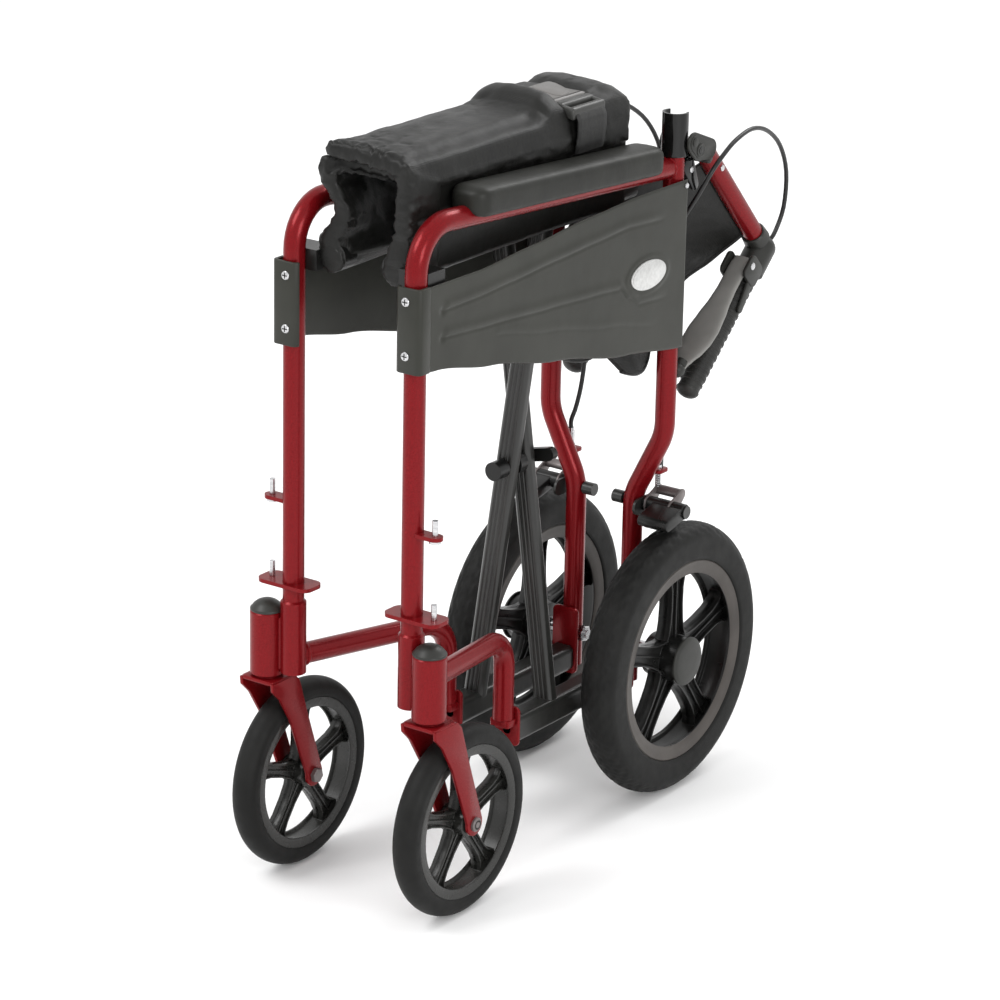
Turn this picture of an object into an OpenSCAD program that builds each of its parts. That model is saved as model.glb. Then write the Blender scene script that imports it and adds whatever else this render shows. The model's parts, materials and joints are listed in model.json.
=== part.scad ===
/* [Frame] */
// Half the distance between the side-frame tubes when folded
side_x = 74; // [70:1:78]
// Distance from the front upright to the rear post
base_y = 444.5; // [440:0.5:450]
// Outer diameter of the frame tubes
tube_d = 22; // [20:1:24]
// Height of the armrest tube axis above the front upright
arm_front_z = 718.5; // [716:0.5:722]
// Height of the armrest tube axis at the rear post
arm_rear_z = 692; // [688:1:696]
// Half the distance between the lower pivots of the cross brace when folded
pivot_x = 37; // [36:0.5:38]
// Height of the lower pivots
pivot_z = 125; // [122:1:128]
// Height of the seat rails above the lower pivots when folded
brace_h = 542; // [536:1:546]

/* [Castors] */
// Radius of the castor wheels
castor_r = 100; // [98:0.5:100]
// Width of the castor tyres
castor_w = 28; // [24:1:30]
// Distance from the middle to each castor's swivel axis
swivel_x = 102; // [102:0.5:103]
// Position of the swivel axis along the chair
swivel_y = -7.3; // [-8:0.1:-7]
// Trail of the castor wheel behind its swivel axis
castor_trail = 53; // [50:1:55]

/* [Rear wheels] */
// Radius of the rear wheels
rear_r = 150; // [148:1:150]
// Width of the rear tyres
rear_w = 42; // [38:1:44]
// Distance from the middle to the rear wheels' middle plane
rear_x = 90; // [90:0.5:92]

/* [Back and handles] */
// Height of the back hinge
hinge_z = 708; // [706:1:712]
// Position of the back hinge along the chair
hinge_y = 464.5; // [464:0.5:465]
// Length of the back tube from the hinge to the handle axis
back_len = 212; // [206:1:214]
// Length of the push handle from the back tube's axis
handle_len = 196; // [190:1:200]
// Angle of the folded back tube below the horizontal
back_drop = 46.8; // [46:0.2:48]

/* [Seat and panels] */
// Front edge of the folded seat
seat_y0 = 15; // [15:1:20]
// Rear edge of the folded seat
seat_y1 = 392; // [386:1:396]
// Thickness of one layer of the folded seat top
seat_layer = 12; // [11:0.5:13]
// Height of the folded seat's top
seat_top_z = 780; // [778:1:784]
// Thickness of the side panels
panel_t = 3; // [2.5:0.5:3]
// Width of the armrest pads
pad_w = 44; // [40:1:44]

/* [Hidden] */
$fn = 64;

red = [0.57, 0.15, 0.17];
black = [0.13, 0.13, 0.13];
plastic = [0.31, 0.32, 0.30];
light_grey = [0.50, 0.51, 0.49];
steel = [0.75, 0.75, 0.76];
fabric = [0.2, 0.2, 0.19];

tube_r = tube_d / 2;
run = 0.05;                                  // radial clearance of the running fits
seam = 0.05;                                 // hairline between a straight tube and its bend
rail_z = pivot_z + brace_h;                  // seat rail axis, folded
mid_z = pivot_z + brace_h / 2;               // brace bolt axis
brace_lean = atan2(2 * pivot_x, brace_h);    // lean of each brace from the vertical
brace_len = sqrt(4 * pivot_x * pivot_x + brace_h * brace_h);
brace_a_y = 262;                             // middle of the front brace
brace_b_y = 290;                             // middle of the rear brace
brace_w = 24;                                // brace extrusion across the chair
brace_d = 16;                                // brace extrusion along the chair
rail_y0 = 12;                                // seat rail ends
rail_y1 = 420;
rail_r = 10;
pivot_y0 = 222;                              // lower pivot rail ends
pivot_y1 = 428;
pin_r = 5;
post_in_z = [400, 325];                      // heights where the rear post bends inwards
axle_y = swivel_y + castor_trail;
axle_r = 4;
leg_x = castor_w / 2 + 6;                    // fork leg's inner face from the wheel plane
leg_t = 4;
housing_z = [225, 293];
housing_r = 17.5;
stem_r = 6;
hanger_z = [323, 410];                       // the two hanger levels
stud_x = 101;
stud_r = 3;
stud_h = 20;
tab_t = 4;
rear_axle_r = 6;
rear_rim_r = 111;
rear_inner_r = 96;
hub_r = 29;
brake_z = 318;
brake_pin_r = 4;
socket_z = [705, 750];
socket_r = 14;
socket_bore = 10;
tube_off = 20;                               // back tube axis from the hinge axis
cheek_x = 15;                                // hinge cheek's inner face from the tube plane
cheek_t = 3.5;
tube_start = 43;                             // first point of the back tube from the hinge
grip_r = 15;
lever_pivot = [18, back_len - 22];           // brake lever hinge, along and across the handle
lever_spread = 4.5;                          // rest angle between lever and grip
panel_x = side_x + tube_r + 1;               // inner face of the side panel
wall_x = [25, 50];                           // folded seat wall, inner and outer face
wall_z = [rail_z + rail_r + 6, seat_top_z - 2 * seat_layer - 2];
seat_half_w = 56;                            // outer reach of the folded seat top
cable_r = 2.5;
// Middle of the folded chair's length, from the front uprights
origin_y = (swivel_y + castor_trail - castor_r + hinge_y + (back_len + grip_r + 2) * cos(back_drop)
    + (tube_off + 12) * sin(back_drop)) / 2;

// ---- helpers ----

function unit(v) = v / norm(v);
function bend_angle(u, v) = acos(max(-1, min(1, u * v)));

module placed(x, y, z, at) {
    multmatrix([[x[0], y[0], z[0], at[0]], [x[1], y[1], z[1], at[1]], [x[2], y[2], z[2], at[2]],
        [0, 0, 0, 1]]) children();
}

// A rod from p to q
module rod(p, q, r) {
    w = unit(q - p);
    x = unit([1, 0, 0] - w * w[0]);
    placed(x, cross(w, x), w, p) cylinder(r = r, h = norm(q - p));
}

// A tube along straight runs joined by arcs of radius bend_r at the inner points
module bent_tube(pts, bend_r, r) {
    last = len(pts) - 1;
    dirs = [for (i = [0:last - 1]) unit(pts[i + 1] - pts[i])];
    cut = [for (i = [0:last]) i == 0 || i == last ? 0
        : bend_r * tan(bend_angle(dirs[i - 1], dirs[i]) / 2)];
    for (i = [0:last - 1])
        rod(pts[i] + dirs[i] * (cut[i] + (i > 0 ? seam : 0)),
            pts[i + 1] - dirs[i] * (cut[i + 1] + (i < last - 1 ? seam : 0)), r);
    for (i = [1:last - 1]) {
        u = dirs[i - 1];
        turn = bend_angle(u, dirs[i]);
        middle = pts[i] + unit(dirs[i] - u) * bend_r / cos(turn / 2);
        x = unit(pts[i] - u * cut[i] - middle);
        axis = unit(cross(u, dirs[i]));
        placed(x, cross(axis, x), axis, middle)
            rotate_extrude(angle = turn) translate([bend_r, 0]) circle(r = r);
    }
}

// A rod along X, Y or Z between two coordinates
module rod_x(x0, x1, y, z, r) {
    translate([x0, y, z]) rotate([0, 90, 0]) cylinder(r = r, h = x1 - x0);
}
module rod_y(y0, y1, x, z, r) {
    translate([x, y0, z]) rotate([-90, 0, 0]) cylinder(r = r, h = y1 - y0);
}
module rod_z(z0, z1, x, y, r) {
    translate([x, y, z0]) cylinder(r = r, h = z1 - z0);
}

// A box between two corners
module block(a, b) {
    translate(a) cube(b - a);
}

// A flat outline in the Y-Z plane, thickened from x0 to x1
module side_plate(x0, x1) {
    translate([x0, 0, 0]) rotate([90, 0, 90]) linear_extrude(x1 - x0) children();
}

// A rectangle with round corners, between two corners
module round_rect(a, b, r) {
    translate([a[0] + r, a[1]]) square([b[0] - a[0] - 2 * r, b[1] - a[1]]);
    translate([a[0], a[1] + r]) square([b[0] - a[0], b[1] - a[1] - 2 * r]);
    for (x = [a[0] + r, b[0] - r], y = [a[1] + r, b[1] - r]) translate([x, y]) circle(r = r);
}

// A stadium from p to q
module slot2d(p, q, r) {
    d = q - p;
    translate(p) circle(r = r);
    translate(q) circle(r = r);
    translate(p) rotate(atan2(d[1], d[0])) translate([0, -r]) square([norm(d), 2 * r]);
}

// A straight bar with pointed ends from p to q
module bar2d(p, q, r) {
    u = unit(q - p) * r;
    v = [-u[1], u[0]];
    polygon([p - u, p - v, q - v, q + u, q + v, p + v]);
}

// The origin lies on the floor under the middle of the folded chair
module middle() {
    translate([0, -origin_y, 0]) children();
}
module left() {
    middle() children();
}
module right() {
    middle() mirror([1, 0, 0]) children();
}

// The folded back's own frame: X across, Y along the push handle, Z along the back tube
module back_frame() {
    c = cos(back_drop);
    s = sin(back_drop);
    placed([1, 0, 0], [0, -s, -c], [0, c, -s], [0, hinge_y, hinge_z]) children();
}

// A swept tube through hand-chosen points, with sides flat sides
module swept(path, r, sides) {
    n = len(path);
    dirs = [for (i = [0:n - 1]) unit(path[min(i + 1, n - 1)] - path[max(i - 1, 0)])];
    rings = [for (i = [0:n - 1]) let (a = unit([1, 0, 0] - dirs[i] * dirs[i][0]))
        for (k = [0:sides - 1]) path[i] + r * (a * cos(360 * k / sides)
            + cross(dirs[i], a) * sin(360 * k / sides))];
    walls = [for (i = [0:n - 2], k = [0:sides - 1]) let (m = (k + 1) % sides)
        [i * sides + k, i * sides + m, (i + 1) * sides + m, (i + 1) * sides + k]];
    first = [for (k = [sides - 1:-1:0]) k];
    end = [for (k = [0:sides - 1]) (n - 1) * sides + k];
    polyhedron(rings, concat([first], [for (w = walls) [w[0], w[1], w[2]]],
        [for (w = walls) [w[0], w[2], w[3]]], [end]));
}

// A Catmull-Rom curve through the points, steps pieces to each span
function curve_at(p, i, t) = let (n = len(p) - 1, a = p[max(i - 1, 0)], b = p[i], c = p[i + 1],
    d = p[min(i + 2, n)]) 0.5 * (2 * b + (c - a) * t + (2 * a - 5 * b + 4 * c - d) * t * t
    + (3 * b - a - 3 * c + d) * t * t * t);
function smooth(p, steps) = concat([for (i = [0:len(p) - 2], k = [0:steps - 1])
    curve_at(p, i, k / steps)], [p[len(p) - 1]]);

// ---- frame ----

module front_upright() {
    bent_tube([[side_x, 0, 229], [side_x, 0, arm_front_z],
        [side_x, base_y - tube_r - 0.8, arm_rear_z]], 45, tube_r);
}

module side_frame() {
    color(red) front_upright();
}

module post_path() {
    bent_tube([[side_x, base_y, socket_z[0]], [side_x, base_y, post_in_z[0]],
        [pivot_x, base_y, post_in_z[1]], [pivot_x, base_y, 112]], 60, tube_r);
}

// Rear post with the foot plate that holds the lower pivot pin, and the cable stop tab
module rear_post() {
    color(red) {
        post_path();
        translate([0, base_y - tube_r - seam, 0]) rotate([90, 0, 0]) linear_extrude(5)
            round_rect([pivot_x - 16, 106], [pivot_x + 16, 182], 6);
        rod_y(pivot_y1 - 24, base_y - tube_r - 5 - 2 * seam, pivot_x, pivot_z, pin_r);
        difference() {
            block([46, base_y + 6, 350], [66, base_y + 25, 354]);
            rod_z(340, 360, 58, base_y + 17.5, 4);
        }
    }
}

// Lower tube from the front upright in and down to the front pivot pin
module lower_tube() {
    color(red) {
        difference() {
            bent_tube([[side_x, 0, 247], [pivot_x, 211, 231], [pivot_x, 211, 140]], 36, tube_r);
            rod_z(220, 260, side_x, 0, tube_r);
        }
        translate([0, 222, 0]) rotate([90, 0, 0]) linear_extrude(4)
            round_rect([pivot_x - 15, 108], [pivot_x + 15, 140 - seam], 6);
        rod_y(222 + seam, pivot_y0 + 24, pivot_x, pivot_z, pin_r);
        block([pivot_x - 11, 200, 132], [pivot_x + 11, 218 - seam, 140 - seam]);
    }
}

module castor_housing() {
    color(red) difference() {
        union() {
            rod_z(housing_z[0], housing_z[1], swivel_x, swivel_y, housing_r);
            block([side_x, swivel_y - 4, 230], [swivel_x, swivel_y + 8, 290]);
        }
        rod_z(220, 310, side_x, 0, tube_r);
        rod_z(200, 296, swivel_x, swivel_y, stem_r + run);
    }
}

module castor_cap() {
    color(black) {
        translate([swivel_x, swivel_y, housing_z[1]]) intersection() {
            translate([0, 0, -10]) sphere(r = 19.5);
            cylinder(r = 17, h = 12);
        }
    }
}

module hanger_brackets() {
    color(red) difference() {
        union() {
            translate([0, 0, hanger_z[0]]) linear_extrude(tab_t)
                round_rect([side_x - 27, -15], [stud_x + 11, 16], 10);
            for (z = [hanger_z[1]]) translate([0, 0, z]) linear_extrude(tab_t)
                slot2d([side_x + 8, 0], [stud_x, 0], 8);
        }
        rod_z(300, 440, side_x, 0, tube_r);
        for (z = hanger_z) rod_z(z - 1, z + 5, stud_x, 0, stud_r - 0.4);
    }
}

// Each stud stands on a thinner shank that passes through its tab
module hanger_pins() {
    color(steel) for (z = hanger_z) {
        rod_z(z + tab_t + 0.3, z + stud_h, stud_x, 0, stud_r);
        rod_z(z, z + tab_t + 0.3, stud_x, 0, stud_r - 0.4);
        rod_z(z - 3, z, stud_x, 0, 6);
    }
}

// ---- armrest and panel ----

arm_slope = atan2(arm_front_z - arm_rear_z, base_y);

module armrest_pad() {
    color(plastic) difference() {
        translate([side_x, 0, arm_front_z]) rotate([-arm_slope, 0, 0]) rotate([-90, 0, 0])
            translate([0, 0, 74]) linear_extrude(328) round_rect([-pad_w / 2, -28], [pad_w / 2, -2], 8);
        front_upright();
    }
}

panel_front = [578, 662];
panel_rear = [497, 679];

module panel_outline() {
    difference() {
        polygon([[-11.5 + seam, panel_front[0]], [20, panel_front[0] - 2], [106, 559], [217, 537],
            [340, 513], [452, panel_rear[0]], [452, panel_rear[1]], [360, 679], [269, 675],
            [168, 667], [87, 661], [20, panel_front[1]], [-11.5 + seam, panel_front[1]]]);
        translate([452, panel_rear[0]]) rotate(45) square(8, center = true);
    }
}

// Skirt guard with its front wrap, two raised ribs and a blank oval badge
module side_panel() {
    color(plastic) {
        difference() {
            side_plate(panel_x, panel_x + panel_t) panel_outline();
            for (z = [640, 604]) rod_x(panel_x - 1, panel_x + 5, 14, z, 2.5);
        }
        difference() {
            translate([0, 0, panel_front[0]]) linear_extrude(panel_front[1] - panel_front[0])
                polygon([[side_x - 13, -15], [panel_x + 3, -15], [panel_x + 3, -11.5],
                    [side_x - 9, -11.5], [side_x - 12.5, -7], [side_x - 14, -8]]);
            for (z = [594, 648]) rod_y(-20, -10, side_x - 1, z, 2.2);
        }
        side_plate(panel_x + panel_t, panel_x + panel_t + 1) {
            bar2d([22, 641], [430, 648], 1.5);
            bar2d([22, 606], [335, 586], 1.5);
        }
        side_plate(panel_x - 3, panel_x) {
            bar2d([60, 630], [430, 630], 2.5);
            bar2d([60, 600], [430, 560], 2.5);
        }
    }
    color(steel) side_plate(panel_x + panel_t, panel_x + panel_t + 1.5) translate([379, 592])
        polygon([for (a = [0:9:351]) [32 * cos(a), 15.5 * sin(a)]]);
}

// Screws of the panel, the armrest and the hinge, and the rear axle with its nuts
module hardware() {
    color(steel) {
        for (z = [594, 648]) {
            rod_y(-16.6, -15, side_x - 1, z, 5);
            rod_y(-15, -11, side_x - 1, z, 2.2);
        }
        rod_x(panel_x + panel_t, panel_x + panel_t + 2, 440, 668, 4);
        rod_x(panel_x + panel_t, panel_x + panel_t + 2, 440, 512, 4);
        rod_x(pivot_x + tube_r + 0.1, rear_x + 26, base_y, rear_r, rear_axle_r);
        rod_x(pivot_x + tube_r + 0.1, rear_x - 22.5, base_y, rear_r, 9.5);
        rod_x(16, pivot_x - tube_r - 0.1, base_y, rear_r, 9.5);
    }
}

// Open socket on top of the rear post, with the plate that carries the back hinge pin
module hinge_socket() {
    color(black) difference() {
        union() {
            rod_z(socket_z[0], socket_z[1], side_x, base_y, socket_r);
            side_plate(side_x - 5, side_x + 5) {
                slot2d([base_y + 6, hinge_z], [hinge_y, hinge_z], 10);
                translate([base_y + 8, 674]) square([13, 30]);
            }
            rod_x(side_x - cheek_x - cheek_t - 2, side_x + cheek_x + cheek_t + 2, hinge_y, hinge_z, 4);
        }
        rod_z(socket_z[0] + 6, socket_z[1] + 1, side_x, base_y, socket_bore);
        rod_z(600, socket_z[0], side_x, base_y, tube_r);
    }
}

// ---- wheels ----

module wheel_ring(r, w, hole, round) {
    rotate_extrude() difference() {
        translate([hole, -w / 2]) round_rect([-10, 0], [r - hole, w], round);
        translate([-1, -w]) square([hole + 1, 2 * w]);
    }
}

// A five-spoke wheel with its axis along Z
module spoked_rim(rim_r, inner_r, hub, rim_w, hub_w, bore, spoke_w) {
    difference() {
        cylinder(r = rim_r, h = rim_w, center = true);
        cylinder(r = inner_r, h = rim_w + 2, center = true);
    }
    difference() {
        cylinder(r = hub, h = hub_w, center = true);
        cylinder(r = bore, h = hub_w + 2, center = true);
    }
    for (a = [0:72:288]) rotate(90 + a) translate([hub + seam, -spoke_w / 2, -rim_w * 0.28])
        cube([sqrt(inner_r * inner_r - spoke_w * spoke_w / 4) - hub - 2 * seam, spoke_w,
            rim_w * 0.56]);
}

module at_castor() {
    translate([swivel_x, axle_y, castor_r]) rotate([0, 90, 0]) children();
}

module at_rear() {
    translate([rear_x, base_y, rear_r]) rotate([0, 90, 0]) children();
}

module castor_rim() {
    color(black) at_castor() spoked_rim(80, 70, 15, 24, 38, axle_r + run, 17);
}

module castor_tyre() {
    color(black) at_castor() wheel_ring(castor_r, castor_w, 80, 12);
}

module rear_rim() {
    color(black) at_rear() spoked_rim(rear_rim_r, rear_inner_r, hub_r, 34, 44, rear_axle_r + run, 24);
}

module rear_tyre() {
    color(black) at_rear() wheel_ring(rear_r, rear_w, rear_rim_r, 18);
}

// Crown, two flat legs and the swivel stem
module castor_fork() {
    color(red) {
        translate([swivel_x, 0, 218]) linear_extrude(5)
            round_rect([-leg_x - leg_t - 0.3, swivel_y - 18], [leg_x + leg_t + 0.3, 17.5], 4);
        for (s = [-1, 1]) difference() {
            side_plate(swivel_x + s * (leg_x + leg_t / 2) - leg_t / 2,
                swivel_x + s * (leg_x + leg_t / 2) + leg_t / 2) {
                slot2d([axle_y, castor_r], [2, 200], 13);
                translate([swivel_y - 14, 192]) square([38, 27]);
            }
            rod_x(swivel_x - 60, swivel_x + 60, axle_y, castor_r, axle_r);
        }
        rod_z(219.5, 282, swivel_x, swivel_y, stem_r);
        rod_z(222, housing_z[0] - 0.3, swivel_x, swivel_y, 13);
    }
}

module castor_axle() {
    color(steel) {
        rod_x(swivel_x - leg_x - leg_t - 6, swivel_x + leg_x + leg_t + 5, axle_y, castor_r, axle_r);
        rod_x(swivel_x + leg_x + leg_t, swivel_x + leg_x + leg_t + 5, axle_y, castor_r, 7);
        rod_x(swivel_x - leg_x - leg_t - 8, swivel_x - leg_x - leg_t, axle_y, castor_r, 8);
    }
}

// ---- back ----

// Hinge cheeks, collar and the back tube up to the handle's housing
module back_tube() {
    back_frame() {
        color(red) rod_z(tube_start, back_len - 17.2, side_x, -tube_off, tube_r);
        color(light_grey) for (s = [-1, 1]) difference() {
            translate([side_x + s * (cheek_x + cheek_t / 2) - cheek_t / 2, 0, 0])
                rotate([90, 0, 90]) linear_extrude(cheek_t) {
                    slot2d([0, 0], [-tube_off, 24], 12);
                    translate([-tube_off - 12, 22]) square([24, 30]);
                }
            rod_x(side_x - 30, side_x + 30, 0, 0, 4 + run);
        }
        color(light_grey) difference() {
            block([side_x - cheek_x - 1, -tube_off - 12, tube_start],
                [side_x + cheek_x + 1, -tube_off + 12, tube_start + 9]);
            rod_z(tube_start - 1, tube_start + 20, side_x, -tube_off, tube_r);
        }
    }
}

// Grip and the brake housing at the corner of the handle, with the ears that hold the lever
module push_grip() {
    back_frame() color(plastic) {
        rod_y(8, handle_len - tube_off, side_x, back_len, grip_r);
        rod_y(-tube_off - 12, 8, side_x, back_len, grip_r + 2);
        difference() {
            rod_z(back_len - 26, back_len - 8, side_x, -tube_off, 13.5);
            rod_z(back_len - 27, back_len - 17, side_x, -tube_off, tube_r + run);
        }
        for (s = [-1, 1])
            block([side_x + s * 14.5 - 2, lever_pivot[0] - 8, lever_pivot[1] - 7],
                [side_x + s * 14.5 + 2, lever_pivot[0] + 8, back_len - 6]);
        rod_x(side_x - 16.5, side_x + 16.5, lever_pivot[0], lever_pivot[1], 2.5);
    }
}

module brake_lever() {
    back_frame() color(light_grey) translate([0, lever_pivot[0], lever_pivot[1]])
        rotate([-lever_spread, 0, 0]) difference() {
            union() {
                rod_x(side_x - 12, side_x + 12, 0, 0, 6);
                translate([side_x, 0, -4]) linear_extrude(7) polygon([[-11, 0], [-10, 30], [-11, 70],
                    [-14, 96], [-14, 118], [-7, 141], [7, 141], [14, 118], [14, 96], [11, 70],
                    [10, 30], [11, 0]]);
                translate([side_x, 148, -1]) sphere(r = 8);
            }
            rod_x(side_x - 20, side_x + 20, 0, 0, 2.5 + run);
        }
}

// ---- brake ----

module brake_mount() {
    color(black) {
        difference() {
            side_plate(pivot_x + tube_r + 1.9, pivot_x + tube_r + 4.8)
                slot2d([base_y - 12, brake_z - 2], [base_y + 16, brake_z - 2], 9);
            rod_x(70, 80, base_y, brake_z, brake_pin_r);
        }
        rod_x(pivot_x + tube_r + 1.9, 106, base_y, brake_z, brake_pin_r);
        rod_x(pivot_x - 24, pivot_x - tube_r - 0.1, base_y, brake_z, 7);
        rod_x(104.5, 106, base_y, brake_z, 7);
    }
    color(steel) rod_z(354, 372, 58, base_y + 17.5, 4);
}

// Link, shoe bar over the tyre and the cable lug
module brake_arm() {
    color(light_grey) difference() {
        union() {
            rod_x(53, 104, base_y, brake_z, 8.5);
            side_plate(56, 62) slot2d([base_y, brake_z], [base_y + 17.5, brake_z + 12], 6);
            side_plate(66, 104) slot2d([base_y - 6, brake_z - 1], [base_y - 30, brake_z - 8], 6.5);
        }
        rod_x(40, 120, base_y, brake_z, brake_pin_r + run);
    }
}

// Route of the brake cable, left side, from the handle to the cable stop
cable_route = [[74.7, 638.5, 571], [76, 648, 579], [79, 659, 606], [82, 656, 646], [86, 634, 680],
    [90, 600, 703], [93, 565, 712], [95.5, 530, 707], [97, 505, 697], [95.5, 485, 682], [86, 476, 658],
    [69, 472, 626], [57, 472, 590], [50, 473, 540], [48, 473, 480], [50, 469, 430], [54, 465, 400],
    [58, 462, 384], [58, 462, 374]];

module brake_cable() {
    color(black) swept(smooth(cable_route, 4), cable_r, 8);
}

// ---- cross brace ----

// Extruded brace member, from the lower pivot to the seat rail, leaning towards +X
module brace_member(mid_y, bore) {
    difference() {
        translate([-pivot_x, mid_y, pivot_z]) rotate([0, brace_lean, 0]) linear_extrude(brace_len)
            difference() {
                round_rect([-brace_w / 2, -brace_d / 2], [brace_w / 2, brace_d / 2], 6);
                for (s = [-1, 1], x = [-5, 0, 5]) translate([x, s * (brace_d / 2 + 0.6)])
                    circle(r = 1.6);
            }
        rod_y(mid_y - 20, mid_y + 20, 0, mid_z, bore);
    }
}

// Lower pivot rail and seat rail of one brace
module brace_rails() {
    difference() {
        translate([-pivot_x, pivot_y0 + 0.4, pivot_z]) rotate([-90, 0, 0])
            linear_extrude(pivot_y1 - pivot_y0 - 0.8) round_rect([-13, -14], [13, 14], 6);
        rod_y(pivot_y0 - 1, pivot_y0 + 30, -pivot_x, pivot_z, pin_r + run);
        rod_y(pivot_y1 - 30, pivot_y1 + 1, -pivot_x, pivot_z, pin_r + run);
    }
    rod_y(rail_y0, rail_y1, pivot_x, rail_z, rail_r);
}

module brace_a() {
    color(black) {
        brace_member(brace_a_y, pin_r + run);
        brace_rails();
    }
}

module brace_b() {
    color(black) mirror([1, 0, 0]) {
        brace_member(brace_b_y, pin_r);
        brace_rails();
    }
}

module brace_bolt() {
    color(black) {
        rod_y(244, 312, 0, mid_z, pin_r);
        rod_y(236, brace_a_y - brace_d / 2 - 1, 0, mid_z, 10);
        rod_y(brace_a_y + brace_d / 2 + 0.5, brace_b_y - brace_d / 2, 0, mid_z, 12);
        difference() {
            translate([0, 303, mid_z]) rotate([-90, 0, 0]) linear_extrude(8)
                slot2d([-4, 0], [22, -6], 7);
            rod_y(300, 320, 0, mid_z, pin_r);
        }
    }
}

// Slider that hangs on the seat rail and runs down the front upright
module seat_guide() {
    color(black) difference() {
        union() {
            rod_y(14, 33, pivot_x, rail_z, 15);
            block([pivot_x, 14, rail_z - 12], [52, 33, rail_z + 12]);
            block([50, 4, rail_z - 15], [side_x + 10, 33, rail_z + 6]);
        }
        rod_y(0, 40, pivot_x, rail_z, rail_r + run);
        rod_z(600, 720, side_x, 0, tube_r + 0.35);
    }
}

// ---- soft parts ----

module seat_wall() {
    color(fabric) block([wall_x[0], seat_y0, wall_z[0]], [wall_x[1], seat_y1, wall_z[1]]);
}

// One layer of the folded seat top: the left half lies over the right half
module seat_top(upper) {
    top = upper ? seat_top_z : seat_top_z - seat_layer - 1;
    reach = upper ? 47 : 46;
    color(fabric) block([-reach, seat_y0, top - seat_layer], [seat_half_w, seat_y1, top]);
}

// One half of the back upholstery, hanging as one leg of a fold below the back tube
module back_sling() {
    lean = asin((side_x - 2) / 238);
    color(fabric) back_frame() translate([side_x - 4, -tube_off + 11.5, 0])
        rotate([0, 0, lean]) block([-2, 0, 58], [2, 212, back_len - 36]);
}

module lap_strap() {
    color(black) {
        block([56, 283, seat_top_z + 0.4], [seat_half_w + 4, 333, seat_top_z + 2]);
        block([seat_half_w + 2, 283, 732], [seat_half_w + 4, 333, seat_top_z + 2]);
        block([-47, 283, seat_top_z + 0.4], [-18, 333, seat_top_z + 2]);
    }
}

module buckle_socket() {
    color(plastic) difference() {
        block([-12, 278, seat_top_z + 3], [34, 340, seat_top_z + 15]);
        block([2, 284, seat_top_z + 5.5], [35, 334, seat_top_z + 12.5]);
    }
}

module buckle_plug() {
    color(plastic) {
        block([35, 280, seat_top_z + 3], [58, 338, seat_top_z + 14]);
        for (y = [285, 327]) block([6, y, seat_top_z + 6], [36, y + 6, seat_top_z + 12]);
    }
}

left() side_frame();  // left_side_frame
left() rear_post();  // left_rear_post
left() lower_tube();  // left_lower_tube
left() castor_housing();  // left_castor_housing
left() castor_cap();  // left_castor_cap
left() hanger_brackets();  // left_hanger_brackets
left() hanger_pins();  // left_hanger_pins
left() armrest_pad();  // left_armrest_pad
left() side_panel();  // left_side_panel
left() hardware();  // left_hardware
left() hinge_socket();  // left_hinge_socket
left() brake_mount();  // left_brake_mount
left() castor_fork();  // left_castor_fork
left() castor_axle();  // left_castor_axle
left() castor_rim();  // left_castor_rim
left() castor_tyre();  // left_castor_tyre
left() rear_rim();  // left_rear_rim
left() rear_tyre();  // left_rear_tyre
left() back_tube();  // left_back_tube
left() push_grip();  // left_push_grip
left() brake_lever();  // left_brake_lever
left() brake_arm();  // left_brake_arm
left() brake_cable();  // left_brake_cable
left() seat_guide();  // left_seat_guide
left() seat_wall();  // left_seat_wall
left() seat_top(true);  // left_seat_top
left() back_sling();  // left_back_sling
right() side_frame();  // right_side_frame
right() rear_post();  // right_rear_post
right() lower_tube();  // right_lower_tube
right() castor_housing();  // right_castor_housing
right() castor_cap();  // right_castor_cap
right() hanger_brackets();  // right_hanger_brackets
right() hanger_pins();  // right_hanger_pins
right() armrest_pad();  // right_armrest_pad
right() side_panel();  // right_side_panel
right() hardware();  // right_hardware
right() hinge_socket();  // right_hinge_socket
right() brake_mount();  // right_brake_mount
right() castor_fork();  // right_castor_fork
right() castor_axle();  // right_castor_axle
right() castor_rim();  // right_castor_rim
right() castor_tyre();  // right_castor_tyre
right() rear_rim();  // right_rear_rim
right() rear_tyre();  // right_rear_tyre
right() back_tube();  // right_back_tube
right() push_grip();  // right_push_grip
right() brake_lever();  // right_brake_lever
right() brake_arm();  // right_brake_arm
right() brake_cable();  // right_brake_cable
right() seat_guide();  // right_seat_guide
right() seat_wall();  // right_seat_wall
right() seat_top(false);  // right_seat_top
right() back_sling();  // right_back_sling
middle() brace_a();
middle() brace_b();
middle() brace_bolt();
middle() lap_strap();
middle() buckle_socket();
middle() buckle_plug();
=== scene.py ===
import json
import math

import bmesh
import bpy
from mathutils import Matrix, Vector, noise


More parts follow.
